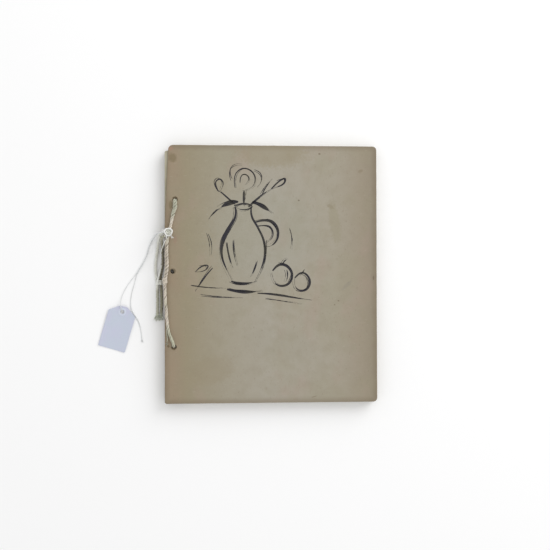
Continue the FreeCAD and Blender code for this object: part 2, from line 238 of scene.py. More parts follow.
# Marks on the front cover, in millimetres: place, half sizes, turn in degrees, colour, strength
COVER_MARKS = [
    ((-97.3, 114.4), (4.8, 5.2), 20, (118, 106, 78), 0.6),
    ((-99.0, 123.2), (3.0, 2.2), 20, (158, 128, 110), 0.6),
    # Painted shadow of the lacing on the card, left of the cord below the head hole
    ((-99.3, 68.0), (1.9, 5.2), 0, (122, 110, 82), 0.6),
    ((-94.8, 33.8), (2.2, 4.6), 0, (150, 124, 108), 0.4),
    ((-103.2, -66.0), (1.8, 5.0), 0, (142, 124, 102), 0.5),
    ((-101.4, -70.6), (1.4, 1.8), 30, (96, 84, 60), 0.65),
    ((47.8, 119.0), (1.3, 1.0), 0, (108, 94, 74), 0.7),
    ((27.1, 72.8), (1.2, 1.0), 0, (102, 90, 72), 0.75),
    ((66.5, -26.7), (1.1, 0.8), 0, (106, 92, 72), 0.6),
    ((62.6, -30.6), (0.9, 0.8), 0, (106, 92, 72), 0.6),
    ((89.1, 102.3), (3.4, 1.6), 25, (130, 118, 96), 0.5),
    ((58.6, 66.9), (4.5, 2.2), -30, (130, 120, 98), 0.45),
    ((63.0, 50.0), (6.5, 24.0), 8, (140, 133, 108), 0.38),
    ((75.4, -10.9), (8.0, 2.2), 42, (136, 130, 118), 0.4),
    ((101.6, -4.0), (1.0, 2.6), 0, (104, 92, 74), 0.6),
    ((41.9, -121.3), (3.0, 0.5), 15, (118, 106, 86), 0.6),
    ((-60.0, -95.0), (26.0, 16.0), 15, (143, 131, 107), 0.3),
    ((10.0, -70.0), (40.0, 18.0), -12, (148, 143, 127), 0.2),
    ((-10.0, 40.0), (60.0, 55.0), 0, (153, 153, 140), 0.28),
    ((2.0, 119.0), (42.0, 16.0), 0, (141, 129, 101), 0.4),
] + [((x - 105.0, y), (3.2, 3.2), 0, (100, 86, 62), 0.75) for x, y in HOLE_PLACES]


# The card's tone across the cover, from the spine to the fore edge
CARD_TONES = [
    (0.0, (150, 133, 112)), (0.05, (149, 134, 113)), (0.1, (147, 137, 114)),
    (0.27, (155, 148, 131)), (0.5, (161, 155, 142)), (0.8, (158, 151, 136)),
    (0.93, (149, 139, 122)), (1.0, (138, 128, 111)),
]


def mark_mask(shade, place, half, turn):
    """How far out a place is from a ragged spot on the cover: low inside it, over 1 outside."""
    centre = (place[0] * MM, place[1] * MM, 0)
    off = shade.node("ShaderNodeMapping", {"vector_type": "TEXTURE"}, {
        "Vector": shade.at, "Location": centre, "Rotation": (0, 0, math.radians(turn)),
        "Scale": (half[0] * MM, half[1] * MM, 1.0),
    })
    x, y, _ = shade.axes(off)
    ragged = shade.noise(420.0, 3.0) * 0.9
    return (x * x + y * y) ** 0.5 + ragged - 0.45


def board_color(shade, wear_and_painted_shadow):
    """Grey-brown card, browner towards the spine and the edges, with fibres and soft blotches."""
    x, y, _ = shade.axes()
    across = (x - SPINE_X) / (FORE_X - SPINE_X)
    stops = [(share, linear(*rgb)) for share, rgb in CARD_TONES]
    base = shade.node("ShaderNodeValToRGB", {"stops": stops}, {"Fac": across})
    base = shade.over(base, shade.noise(22.0, 4.0, 0.6), 0.42, 0.68, 0.35, 148, 142, 119)
    rosy = shade.noise(34.0, 3.0, 0.55, shade.stretched(1.0, 0.7, 1.0))
    base = shade.over(base, rosy, 0.55, 0.75, 0.3, 162, 142, 130)
    cloudy = shade.noise(90.0, 5.0, 0.65)
    base = shade.over(base, cloudy, 0.35, 0.8, 0.25, 136, 126, 107)
    flecks = shade.noise(900.0, 2.0, 0.5, shade.stretched(1.0, 0.35, 1.0))
    base = shade.over(base, flecks, 0.62, 0.78, 0.35, 122, 110, 92)
    pale = shade.noise(760.0, 2.0, 0.5, shade.stretched(0.3, 1.0, 1.0))
    base = shade.over(base, pale, 0.62, 0.8, 0.2, 186, 180, 166)
    # Handling darkens a band along the edges
    edge = shade.from_edges(x, y) + (cloudy - 0.5) * 0.006
    base = shade.over(base, edge, 0.007, 0.0, 0.5, 120, 107, 88)
    # The marks are stains and wear, and one painted shadow of the lacing
    if wear_and_painted_shadow:
        for place, half, turn, color, strength in COVER_MARKS:
            mask = mark_mask(shade, place, half, turn)
            base = shade.over(base, mask, 1.1, 0.55, strength, *color)
    return base


def board_material(name, wear_and_painted_shadow):
    shade = Shade(name)
    grain = shade.noise(1500.0, 3.0, 0.6)
    fibre = shade.noise(500.0, 4.0, 0.6, shade.stretched(1.0, 0.3, 1.0))
    dents = shade.noise(60.0)
    normal = shade.bump(grain * 0.35 + fibre * 0.5 + dents * 0.6, TOOTH, 0.6)
    roughness = 0.82 + (dents - 0.5) * 0.2
    return shade.finish(board_color(shade, wear_and_painted_shadow), roughness, normal, specular=0.25)


def paper_material():
    """Uncoated drawing paper, yellowed towards its edges and darker olive-grey close to the spine.
    """
    shade = Shade("drawing_paper")
    x, y, _ = shade.axes()
    edge = shade.from_edges(x, y) + (shade.noise(60.0) - 0.5) * 0.02
    base = shade.over(linear(232, 228, 216), edge, 0.02, 0.0, 0.7, 200, 192, 168)
    mottled = shade.noise(30.0, 4.0, 0.6)
    base = shade.over(base, mottled, 0.45, 0.75, 0.25, 212, 204, 184)
    tooth = shade.noise(1300.0, 3.0, 0.6)
    base = shade.over(base, tooth, 0.5, 0.8, 0.12, 186, 180, 164)
    # Darker olive-grey within about 16 mm of the spine, most of all within 3 mm
    spine_offset = x - SPINE_X + (mottled - 0.5) * 0.006
    base = shade.over(base, spine_offset, 0.016, 0.003, 0.8, 150, 144, 121)
    for (hole_x, hole_y), _ in HOLES:
        span = ((x - hole_x) ** 2.0 + (y - hole_y) ** 2.0) ** 0.5
        base = shade.over(base, span, 0.0042, 0.002, 0.85, 140, 120, 90)
    # The stack's edges show each leaf as a line of its own tone
    layers = shade.noise(1.0, 2.0, 0.5, shade.stretched(25.0, 25.0, 3600.0))
    base = shade.over(base, layers, 0.5, 0.72, 0.4, 112, 104, 84)
    base = shade.over(base, layers, 0.48, 0.3, 0.3, 216, 211, 192)
    felt = shade.noise(420.0, 2.0)
    normal = shade.bump(tooth * 0.5 + felt * 0.6 + layers * 0.8, TOOTH, 0.6)
    return shade.finish(base, 0.9 - tooth * 0.1, normal, specular=0.2)


def cotton_material(name, clean, soiled, spots=(), tints=(), soil_and_groove_shade=1.0):
    """Twisted cotton. The yarn's hairs run along the ply by its UV map, and soiling follows noise.

    spots are places in millimetres, with a radius, where the cord is stained brown. tints are a
    colour, where along y it starts, where it is full, both in millimetres, and its strength.
    The last argument is how strongly the cord is greened by soil and darkened by painted shade in
    its grooves.
    """
    shade = Shade(name)
    along = shade.node("ShaderNodeUVMap", {"uv_map": "along"})
    hairs = shade.noise(1.0, 3.0, 0.6, shade.stretched(26.0, 4.0, 1.0, along))
    soil = shade.noise(110.0, 4.0, 0.6)
    base = shade.over(linear(*clean), hairs, 0.3, 0.75, 0.5, *soiled)
    base = shade.over(base, soil, 0.45, 0.72, 0.55, *soiled)
    olive = shade.noise(64.0, 2.0)
    base = shade.over(base, olive, 0.48, 0.7, 0.45 * soil_and_groove_shade, 172, 174, 148)
    # Painted shade in the grooves between the plies: a streaked noise along each ply, and darker
    # where its surface sinks towards the cord's middle
    groove_shade = shade.noise(1.0, 2.0, 0.5, shade.stretched(9.0, 0.8, 1.0, along))
    base = shade.over(base, groove_shade, 0.55, 0.8, 0.35 * soil_and_groove_shade, 120, 110, 92)
    sunk = shade.node("ShaderNodeAttribute", {"attribute_name": "sunk"}, {}, 2)
    base = shade.over(base, sunk, 0.14, 0.5, 0.75 * soil_and_groove_shade, 104, 94, 76)
    _, y_place, _ = shade.axes()
    patch = (shade.noise(180.0, 3.0, 0.6) - 0.5) * 0.9 + 1.0
    for color, start, full, strength in tints:
        there = y_place.step(start * MM, full * MM) * patch * strength
        base = shade.mix(there.clamped(), base, linear(*color))
    for x, y, radius in spots:
        span = shade.vector("DISTANCE", shade.at, (x * MM, y * MM, TOP_Z), result=1)
        near = span + (soil - 0.5) * 0.004
        base = shade.over(base, near, radius * MM, radius * 0.3 * MM, 0.7, 126, 104, 78)
    normal = shade.bump(hairs, TOOTH, 0.7)
    return shade.finish(base, 0.85 + hairs * 0.1, normal, sheen=0.35, specular=0.15)


def ticket_material():
    shade = Shade("ticket_card")
    cloud = shade.noise(80.0)
    base = shade.mix(cloud.step(0.35, 0.7), linear(192, 199, 213), linear(194, 196, 215))
    fibres = shade.noise(1100.0, 2.0, 0.5, shade.stretched(1.0, 0.4, 1.0))
    base = shade.over(base, fibres, 0.55, 0.8, 0.25, 176, 180, 198)
    normal = shade.bump(fibres, 0.00004, 0.5)
    return shade.finish(base, 0.72 + (cloud - 0.5) * 0.1, normal, specular=0.3)


def ring_material():
    shade = Shade("ticket_ring")
    fibres = shade.noise(1200.0)
    base = shade.over(linear(202, 208, 222), fibres, 0.4, 0.8, 0.3, 192, 198, 214)
    return shade.finish(base, 0.8 - fibres * 0.1, shade.bump(fibres, 0.00005, 0.5))


def ink_material():
    """Brushed ink. It breaks up over the card's tooth where the brush ran dry (UV y near 1)."""
    shade = Shade("ink")
    across, dryness, _ = shade.axes(shade.node("ShaderNodeUVMap", {"uv_map": "stroke"}))
    from_edge = 1.0 - (across - 0.5).math("ABSOLUTE") * 2.0
    tooth = shade.noise(620.0, 3.0, 0.6)
    wash = shade.noise(70.0)
    base = shade.mix(wash.step(0.4, 0.7), linear(36, 34, 42), linear(56, 53, 46))
    bristles = shade.noise(1.0, 2.0, 0.5, shade.stretched(260.0, 260.0, 1.0))
    laid = tooth * 0.7 + bristles * 0.3 + 0.5 - dryness * 0.62 + from_edge * 0.3
    normal = shade.bump(tooth, 0.00005, 0.5)
    alpha = laid.step(0.5, 0.78)
    return shade.finish(base, 0.55 + tooth * 0.15, normal, specular=0.35, alpha=alpha)


def floor_material():
    shade = Shade("floor")
    cloud = shade.noise(2.0, 2.0)
    base = shade.mix(cloud * 0.2, (0.93, 0.93, 0.93, 1), (0.91, 0.91, 0.91, 1))
    return shade.finish(base, 0.9, shade.bump(cloud, 0.0001, 0.1), specular=0.1)


CORD_SPOTS = [(-96.0, -71.6, 3.4), (-101.6, -66.8, 2.4), (-104.0, -40.0, 3.0), (-94.8, 74.8, 2.2)]
# The lacing is greener near its holes. The free ends turn darker and olive from 11 mm below the
# middle, partly soil and partly painted shade of the book beside them, and are paler at the very
# tip
CORD_TINTS = [((178, 180, 160), 50, 61, 0.75), ((174, 177, 153), -44, -58, 0.65)]
# Painted shade of the book on the inner free end, which lies against it: full from 24 mm above the
# middle downwards
INNER_PAINTED_SHADE = [((114, 106, 92), 31, 24, 0.6)]
# The first of these tints is partly painted shade of the book on the tails
TIP_TINTS = [((164, 162, 140), -11, -18, 0.65), ((210, 215, 198), -37, -41.5, 0.75)]
MATERIALS = {
    "front": board_material("cover_board", True),
    "back": board_material("cover_board_back", False),
    "paper": paper_material(),
    "cord": cotton_material(
        "cotton_cord", (224, 213, 200), (182, 176, 156), CORD_SPOTS, CORD_TINTS),
    "end": cotton_material(
        "cotton_cord_end", (236, 236, 229), (210, 210, 198), (), TIP_TINTS, 0.5),
    # The inner end's darker colours are soil together with painted shade of the book beside it
    "inner": cotton_material("cotton_cord_inner_painted_shade", (184, 180, 162), (132, 126, 108), (),
                             INNER_PAINTED_SHADE + TIP_TINTS),
    "tied": cotton_material("cotton_knot", (250, 250, 246), (224, 224, 216), soil_and_groove_shade=0.1),
    "string": cotton_material("ticket_string", (234, 236, 236), (204, 207, 208), soil_and_groove_shade=0.2),
    "hitch": cotton_material("hitch_string", (252, 252, 250), (232, 232, 228), soil_and_groove_shade=0.1),
    "ticket": ticket_material(),
    "ring": ring_material(),
    "ink": ink_material(),
    "floor": floor_material(),
}


# --- Meshes ---------------------------------------------------------------------------------


def mesh_object(name, vertices, faces, material, smooth=True):
    mesh = bpy.data.meshes.new(name)
    mesh.from_pydata([tuple(v) for v in vertices], [], [tuple(f) for f in faces])
    mesh.validate()
    mesh.materials.append(material)
    mesh.polygons.foreach_set("use_smooth", [smooth] * len(mesh.polygons))
    obj = bpy.data.objects.new(name, mesh)
    bpy.context.collection.objects.link(obj)
    return obj


def inset(loop, distance):
    """A closed counter-clockwise loop moved inwards."""
    points = np.array(loop)
    before, after = np.roll(points, 1, axis=0), np.roll(points, -1, axis=0)
    along = (after - before)
    along /= np.linalg.norm(along, axis=1)[:, None]
    inward = np.stack([-along[:, 1], along[:, 0]], axis=1)
    return points + inward * distance


def inside(points, loop):
    """Which points lie inside a closed loop."""
    loop = np.array(loop)
    x, y = points[:, 0][:, None], points[:, 1][:, None]
    x0, y0 = loop[:, 0], loop[:, 1]
    x1, y1 = np.roll(x0, -1), np.roll(y0, -1)
    crosses = ((y0 > y) != (y1 > y)) & (x < (x1 - x0) * (y - y0) / (y1 - y0 + 1e-15) + x0)
    return crosses.sum(axis=1) % 2 == 1


def circle(centre, radius, count):
    turns = np.arange(count) * 2 * math.pi / count
    x, y = centre[0] + radius * np.cos(turns), centre[1] + radius * np.sin(turns)
    return np.stack([x, y], axis=1)


class SheetPlan:
    """The triangles of a flat sheet with holes, before it gets heights."""

    def __init__(self, outline, holes, columns, rows, edge_rings=(), hole_rings=()):
        loops = [np.array(outline)] + [circle(c, r, 28) for c, r in holes]
        fixed = [inset(outline, d) for d in edge_rings]
        fixed += [circle(c, r + d, 28) for c, r in holes for d in hole_rings]
        grid = np.array([(x, y) for x in columns for y in rows])
        clear = max([*edge_rings, 0.4 * MM]) + 0.35 * MM
        grid = grid[inside(grid, inset(outline, clear))]
        reach = max([*hole_rings, 0.0]) + 0.4 * MM
        for centre, radius in holes:
            grid = grid[np.linalg.norm(grid - np.array(centre), axis=1) > radius + reach]
        points = np.concatenate([*loops, *fixed, grid])
        edges, first = [], 0
        for loop in [*loops, *fixed]:
            count = len(loop)
            edges += [(first + i, first + (i + 1) % count) for i in range(count)]
            first += count
        done = delaunay_2d_cdt([Vector(p) for p in points], edges, [], 0, 1e-9)
        self.points = np.array([tuple(p) for p in done[0]])
        triangles = np.array([tuple(f) for f in done[2]])
        middles = self.points[triangles].mean(axis=1)
        keep = inside(middles, outline)
        for centre, radius in holes:
            keep &= np.linalg.norm(middles - np.array(centre), axis=1) > radius * 0.985
        self.triangles = triangles[keep]
        self.borders = self.border_edges()

    def border_edges(self):
        seen = {}
        for a, b, c in self.triangles:
            for edge in ((a, b), (b, c), (c, a)):
                key = frozenset((int(edge[0]), int(edge[1])))
                seen[key] = None if key in seen else edge
        return [edge for edge in seen.values() if edge is not None]


def solid_sheet(name, plan, top, bottom, material, move=None):
    """A closed sheet: the plan at the height top(x, y), again at bottom(x, y), and its edges."""
    points = plan.points if move is None else move(plan.points)
    x, y = points[:, 0], points[:, 1]
    upper = np.stack([x, y, top(x, y)], axis=1)
    lower = np.stack([x, y, bottom(x, y)], axis=1)
    count = len(points)
    faces = [tuple(t) for t in plan.triangles]
    faces += [(c + count, b + count, a + count) for a, b, c in plan.triangles]
    faces += [(b, a, a + count, b + count) for a, b in plan.borders]
    obj = mesh_object(name, np.concatenate([upper, lower]), faces, material)
    drop_loose(obj)
    sharpen(obj, 40)
    return obj


def drop_loose(obj):
    bm = bmesh.new()
    bm.from_mesh(obj.data)
    bmesh.ops.delete(bm, geom=[v for v in bm.verts if not v.link_faces], context="VERTS")
    bm.to_mesh(obj.data)
    bm.free()


def sharpen(obj, degrees):
    obj.data.shade_smooth()
    obj.data.set_sharp_from_angle(angle=math.radians(degrees))


def smoothstep(t):
    t = np.clip(t, 0, 1)
    return t * t * (3 - 2 * t)


def waves(x, y, seed, size):
    """A slow, seeded undulation, about 1 high, with a wavelength of about size."""
    rng = np.random.default_rng(seed)
    total = np.zeros_like(x)
    for _ in range(5):
        turn, phase = rng.uniform(0, 2 * math.pi), rng.uniform(0, 6.3)
        stretch = rng.uniform(0.7, 1.6)
        k = 2 * math.pi * stretch / size
        total += np.sin(k * (x * math.cos(turn) + y * math.sin(turn)) + phase)
    return total / 3


# --- Boards and leaves ----------------------------------------------------------------------


def rounded_corner(corner, before, after, radius, count=7):
    """Points of an arc that replaces a corner of an outline."""
    corner, before, after = (np.array(p, float) for p in (corner, before, after))
    back = (before - corner) / np.linalg.norm(before - corner)
    ahead = (after - corner) / np.linalg.norm(after - corner)
    half = math.acos(np.clip(back @ ahead, -1, 1)) / 2
    centre = corner + (back + ahead) / np.linalg.norm(back + ahead) * radius / math.sin(half)
    start, end = corner + back * radius / math.tan(half), corner + ahead * radius / math.tan(half)
    first = math.atan2(*(start - centre)[::-1])
    sweep = (math.atan2(*(end - centre)[::-1]) - first + math.pi) % (2 * math.pi) - math.pi
    angles = first + sweep * np.linspace(0, 1, count)
    return [centre + radius * np.array([math.cos(a), math.sin(a)]) for a in angles]


def divided(loop, step):
    """The same closed loop with points at most a step apart."""
    points = []
    for a, b in zip(loop, [*loop[1:], loop[0]]):
        a, b = np.array(a), np.array(b)
        count = max(1, math.ceil(np.linalg.norm(b - a) / step))
        points += [a + (b - a) * i / count for i in range(count)]
    return np.array(points)


def worn_corner(head_y):
    """The head corner at the spine, broken off by handling, from head edge to spine edge."""
    steps = [(8.5, 0.0), (6.5, -2.6), (3.8, -4.6), (1.2, -5.0), (0.0, -6.0)]
    return [np.array((SPINE_X + x * MM, head_y + y * MM)) for x, y in steps]


def board_outline(is_front):
    """A cover's outline, counter-clockwise. Both are worn at the head of the spine."""
    foot_spine, foot_fore, head_fore = (SPINE_X, FOOT_Y), (FORE_X, FOOT_Y), (FORE_X, HEAD_Y)
    head_spine = (SPINE_X + 3.5 * MM, HEAD_Y)
    knee = (SPINE_X, HEAD_Y - 82 * MM)
    loop = rounded_corner(foot_spine, knee, foot_fore, 2 * MM)
    loop += rounded_corner(foot_fore, foot_spine, head_fore, 4 * MM)
    loop += rounded_corner(head_fore, foot_fore, head_spine, 4 * MM)
    if is_front:
        loop += rounded_corner(head_spine, head_fore, knee, 5 * MM)
        loop += [np.array(knee)]
    else:
        loop += worn_corner(HEAD_Y)
    return ragged(divided(loop, 2.2 * MM), 0.12 * MM, 5)


def ragged(loop, depth, seed):
    """The loop with its points moved a little inwards, as a worn or torn edge is."""
    rng = np.random.default_rng(seed)
    moved = inset(loop, 1.0) - loop
    steps = np.convolve(rng.uniform(0, 1, len(loop) + 2), [0.25, 0.5, 0.25], "valid")
    return loop + moved * (steps * depth)[:, None]


def sheet_columns(panel_step):
    """Lines across a sheet: fine over the bend, and wider apart over the panel."""
    margin = np.arange(SPINE_X + 3 * MM, DROP_START, 2.6 * MM)
    bend = np.arange(DROP_START, DROP_END, 0.62 * MM)
    panel = np.arange(DROP_END + 1.5 * MM, FORE_X, panel_step)
    return np.concatenate([margin, bend, panel])


def cover_lift(x, y):
    """How the boards have warped: their free corners are a little up, and the middle is hollow."""
    u = np.clip((x - CREASE_X) / (FORE_X - CREASE_X), 0, 1)
    v = (y - FOOT_Y) / (HEAD_Y - FOOT_Y) * 2 - 1
    return smoothstep(u) * (0.25 * v * v - 0.25 + 0.12 * waves(x, y, 3, 0.16)) * MM


def hole_rims(x, y):
    """The card stands a little proud round a punched hole."""
    rise = np.zeros_like(x)
    for (hole_x, hole_y), radius in HOLES:
        off = np.hypot(x - hole_x, y - hole_y) - radius
        rise += np.exp(-(((off - 0.5 * MM) / (0.55 * MM)) ** 2))
    return rise * 0.16 * MM


def loop_distance(x, y, loop):
    points = np.stack([x, y], axis=1)
    best = np.full(len(points), 1.0)
    for a, b in zip(loop, np.roll(loop, -1, axis=0)):
        side = b - a
        t = np.clip(((points - a) @ side) / (side @ side), 0, 1)
        best = np.minimum(best, np.linalg.norm(points - a - t[:, None] * side, axis=1))
    return best


def drop(x):
    return smoothstep((x - DROP_START) / (DROP_END - DROP_START))


EDGE_ROUND = 0.45 * MM
EDGE_RINGS = (0.12 * MM, 0.3 * MM, 0.55 * MM)


def rounding(x, y, outline):
    """How far a board's face is rounded off near its outline."""
    t = np.clip(1 - loop_distance(x, y, outline) / EDGE_ROUND, 0, 1)
    return EDGE_ROUND * (1 - np.sqrt(np.clip(1 - t * t, 0, 1)))


def front_board():
    outline = board_outline(True)
    plan = SheetPlan(
        outline, HOLES, sheet_columns(3.4 * MM), np.arange(FOOT_Y, HEAD_Y, 3.4 * MM),
        edge_rings=EDGE_RINGS, hole_rings=(0.25 * MM, 0.6 * MM, 1.2 * MM),
    )

    def top(x, y):
        return TOP_Z + cover_lift(x, y) + hole_rims(x, y) - rounding(x, y, outline)

    def bottom(x, y):
        return FRONT_UNDERSIDE_Z + cover_lift(x, y) + rounding(x, y, outline)

    board = solid_sheet("front_board", plan, top, bottom, MATERIALS["front"])
    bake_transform(board)
    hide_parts("front_cover", "front_cover_margin")


def back_board():
    outline = board_outline(False)
    plan = SheetPlan(
        outline, HOLES, sheet_columns(5 * MM), np.arange(FOOT_Y, HEAD_Y, 5 * MM),
        edge_rings=EDGE_RINGS, hole_rings=(0.6 * MM,),
    )

    def fall(x):
        return back_margin_low.z + (back_low.z - back_margin_low.z) * drop(x)

    def top(x, y):
        return fall(x) + BOARD - rounding(x, y, outline)

    def bottom(x, y):
        return fall(x) + rounding(x, y, outline)

    board = solid_sheet("back_board", plan, top, bottom, MATERIALS["back"])
    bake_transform(board)
    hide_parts("back_cover", "back_cover_margin")


def leaf_plan():
    low, high = leaf_low, leaf_high
    loop = [np.array(p) for p in ((SPINE_X, low.y), (high.x, low.y), (high.x, high.y))]
    outline = divided(loop + worn_corner(high.y), 9 * MM)
    slips = [(0.0, 1.0), (-1.2, -0.5), (0.0, -1.2)]
    slipped = [((x + dx * MM, y + dy * MM), r) for ((x, y), r), (dx, dy) in zip(HOLES, slips)]
    return SheetPlan(outline, slipped, sheet_columns(9 * MM), np.arange(low.y, high.y, 9 * MM))


def leaf(plan, node, index, count):
    """One drawing leaf, from its clamped strip to its fore edge."""
    low, _ = corners(node)
    margin_pitch = MARGIN_STACK / count
    margin_z = FRONT_UNDERSIDE_Z - (index + 1) * margin_pitch + (margin_pitch - LEAF) / 2
    rng = random.Random(100 + index)
    shrink_x, shrink_y = rng.uniform(0, 0.9) * MM, rng.uniform(0, 0.8) * MM
    depth_share = (TOP_Z - low.z) / TOP_Z

    def bottom(x, y):
        held = margin_z + (low.z - margin_z) * drop(x)
        ripple = 0.045 * MM * waves(x, y, 40 + index, 0.07) * drop(x)
        return held + cover_lift(x, y) * (1 - depth_share) + ripple

    def top(x, y):
        return bottom(x, y) + LEAF

    def move(points):
        moved = points.copy()
        middle_y = (FOOT_Y + HEAD_Y) / 2
        right = points[:, 0] > DROP_END
        span_x, span_y = FORE_X - DROP_END, (HEAD_Y - FOOT_Y) / 2
        moved[:, 0] -= np.where(right, (points[:, 0] - DROP_END) / span_x * shrink_x, 0)
        moved[:, 1] -= (points[:, 1] - middle_y) / span_y * shrink_y * np.where(right, 1, 0.5)
        return moved

    sheet = solid_sheet(f"{node}_sheet", plan, top, bottom, MATERIALS["paper"], move)
    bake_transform(sheet)
    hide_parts(node, "leaf_margins")


# --- Loose fibres ---------------------------------------------------------------------------


def fibre_tree():
    """Geometry Nodes: short curved hairs standing on a mesh's faces, which alone are kept."""
    tree = bpy.data.node_groups.new("loose_fibres", "GeometryNodeTree")
    sockets = [
        ("Host", "NodeSocketGeometry"), ("Density", "NodeSocketFloat"),
        ("Length", "NodeSocketFloat"), ("Thickness", "NodeSocketFloat"),
        ("Tilt", "NodeSocketFloat"), ("Seed", "NodeSocketInt"),
        ("Material", "NodeSocketMaterial"),
    ]
    for name, kind in sockets:
        tree.interface.new_socket(name, in_out="INPUT", socket_type=kind)
    tree.interface.new_socket("Hairs", in_out="OUTPUT", socket_type="NodeSocketGeometry")
    given = tree.nodes.new("NodeGroupInput").outputs
    result = tree.nodes.new("NodeGroupOutput").inputs

    def add(kind, settings, inputs):
        node = tree.nodes.new(kind)
        for name, setting in settings.items():
            setattr(node, name, setting)
        for name, source in inputs.items():
            feed(tree, node.inputs[name], source)
        return node.outputs

    def times_length(place):
        inputs = {"Vector": place, "Scale": given["Length"]}
        return add("ShaderNodeVectorMath", {"operation": "SCALE"}, inputs)["Vector"]

    def random_vector(low, high, seed_shift):
        seed = add("ShaderNodeMath", {"operation": "ADD"}, {0: given["Seed"], 1: seed_shift})[0]
        node = tree.nodes.new("FunctionNodeRandomValue")
        node.data_type = "FLOAT_VECTOR"
        for socket, source in zip(node.inputs[:2], (low, high)):
            feed(tree, socket, source)
        tree.links.new(seed, node.inputs["Seed"])
        return node.outputs[0]

    spots = add("GeometryNodeDistributePointsOnFaces", {"distribute_method": "RANDOM"}, {
        "Mesh": given["Host"], "Density": given["Density"], "Seed": given["Seed"],
    })
    bend = add("GeometryNodeCurveQuadraticBezier", {}, {
        "Resolution": 4, "Start": (0.0, 0.0, 0.0), "Middle": times_length((0.12, 0.3, 0.45)),
        "End": times_length((0.3, -0.08, 0.9)),
    })
    section = add("GeometryNodeCurvePrimitiveCircle", {"mode": "RADIUS"}, {
        "Resolution": 3, "Radius": given["Thickness"],
    })
    hair = add("GeometryNodeCurveToMesh", {}, {
        "Curve": bend[0], "Profile Curve": section[0], "Fill Caps": True,
    })
    lean = add("ShaderNodeCombineXYZ", {}, {"X": given["Tilt"], "Y": given["Tilt"], "Z": 6.283})
    back = add("ShaderNodeVectorMath", {"operation": "SCALE"}, {"Vector": lean[0], "Scale": -1.0})
    angles = random_vector(back["Vector"], lean[0], 1)
    turned = add("FunctionNodeRotateRotation", {"rotation_space": "LOCAL"}, {
        "Rotation": spots["Rotation"],
        "Rotate By": add("FunctionNodeEulerToRotation", {}, {"Euler": angles})[0],
    })
    sizes = random_vector((0.8, 0.8, 0.35), (1.2, 1.2, 1.25), 2)
    placed_hairs = add("GeometryNodeInstanceOnPoints", {}, {
        "Points": spots["Points"], "Instance": hair[0], "Rotation": turned[0], "Scale": sizes,
    })
    real = add("GeometryNodeRealizeInstances", {}, {"Geometry": placed_hairs[0]})
    dressed = add("GeometryNodeSetMaterial", {}, {
        "Geometry": real[0], "Material": given["Material"],
    })
    tree.links.new(dressed[0], result["Hairs"])
    return tree


FIBRES = fibre_tree()


def grow(host_mesh, name, density, length, thickness, tilt, seed, material, ground):
    """The hairs on a mesh as a plain mesh of their own. None goes below ground."""
    host = bpy.data.objects.new("fibre_host", host_mesh)
    modifier = host.modifiers.new("fibres", "NODES")
    modifier.node_group = FIBRES
    settings = {
        "Density": density, "Length": length, "Thickness": thickness, "Tilt": tilt,
        "Seed": seed, "Material": material,
    }
    for item in FIBRES.interface.items_tree:
        if item.in_out == "INPUT" and item.name in settings:
            modifier[item.identifier] = settings[item.name]
    bpy.context.collection.objects.link(host)
    depsgraph = bpy.context.evaluated_depsgraph_get()
    mesh = bpy.data.meshes.new_from_object(host.evaluated_get(depsgraph))
    host.modifiers.remove(modifier)
    bpy.data.objects.remove(host)
    mesh.name = name
    places = np.array([tuple(v.co) for v in mesh.vertices])
    places[:, 2] = np.maximum(places[:, 2], ground + 0.03 * MM)
    mesh.vertices.foreach_set("co", places.ravel())
    mesh.polygons.foreach_set("use_smooth", [True] * len(mesh.polygons))
    obj = bpy.data.objects.new(name, mesh)
    bpy.context.collection.objects.link(obj)
    return obj


def hairs(piece, name, diameter, body, slot, material, per_mm2=0.55):
    """The fuzz that stands off a cord."""
    obj = grow(piece.data, name, per_mm2 / MM**2, 0.35 * diameter + 0.5 * MM, 0.028 * MM, 1.2,
               len(name), MATERIALS[material], 0.0)
    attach(obj, body)
    return obj


def frayed_tip(name, place, ahead, diameter, count, body, material, ground=0.0):
    """Where the plies have come apart at a cut end: a brush of loose yarns."""
    radius = diameter * 0.48
    ahead = ahead / np.linalg.norm(ahead)
    side = np.cross(ahead, (0.0, 0.0, 1.0))
    side /= np.linalg.norm(side)
    up = np.cross(side, ahead)
    turns = np.arange(12) * math.pi / 6
    rim = [place + radius * (math.cos(a) * side + math.sin(a) * up) for a in turns]
    faces = [(0, i + 1, (i + 1) % 12 + 1) for i in range(12)]
    facing = np.cross(rim[0] - place, rim[1] - place) @ ahead
    disc = bpy.data.meshes.new("tip_face")
    faces = faces if facing > 0 else [f[::-1] for f in faces]
    disc.from_pydata([tuple(p) for p in (place, *rim)], [], faces)
    per_area = count / (math.pi * radius**2)
    obj = grow(disc, name, per_area, 1.5 * diameter + 1.2 * MM, 0.06 * MM + 0.04 * diameter, 0.42,
               count, MATERIALS[material], ground)
    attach(obj, body)
    return obj


# --- Cords ----------------------------------------------------------------------------------

# Routes in millimetres. Each x is measured from the spine edge
LACING_ROUTE = [
    (4.2, 42.0, 13.5), (6.2, 48.4, 13.5), (7.7, 57.0, 13.5), (10.0, 65.4, 13.6),
    (10.4, 69.4, 13.9), (10.1, 72.6, 13.3), (10.1, 72.3, 9.6), (10.2, 72.4, 5.4),
    (10.2, 73.0, 1.2), (10.1, 67.4, 1.5), (9.2, -65.8, 1.5), (9.1, -71.3, 1.2),
    (9.1, -71.0, 5.4), (9.1, -71.0, 9.6), (8.9, -71.3, 13.4), (8.5, -68.2, 13.8),
    (7.0, -64.8, 13.6), (4.1, -57.6, 13.5), (2.5, -48.6, 13.5), (1.8, -38.8, 13.5),
    (0.7, -27.8, 13.5), (0.3, -17.0, 13.6), (0.1, -6.8, 14.5), (2.1, 3.4, 13.5),
    (2.0, 13.4, 13.5), (1.7, 22.6, 13.5), (2.3, 31.4, 13.5), (3.6, 39.2, 13.5),
]
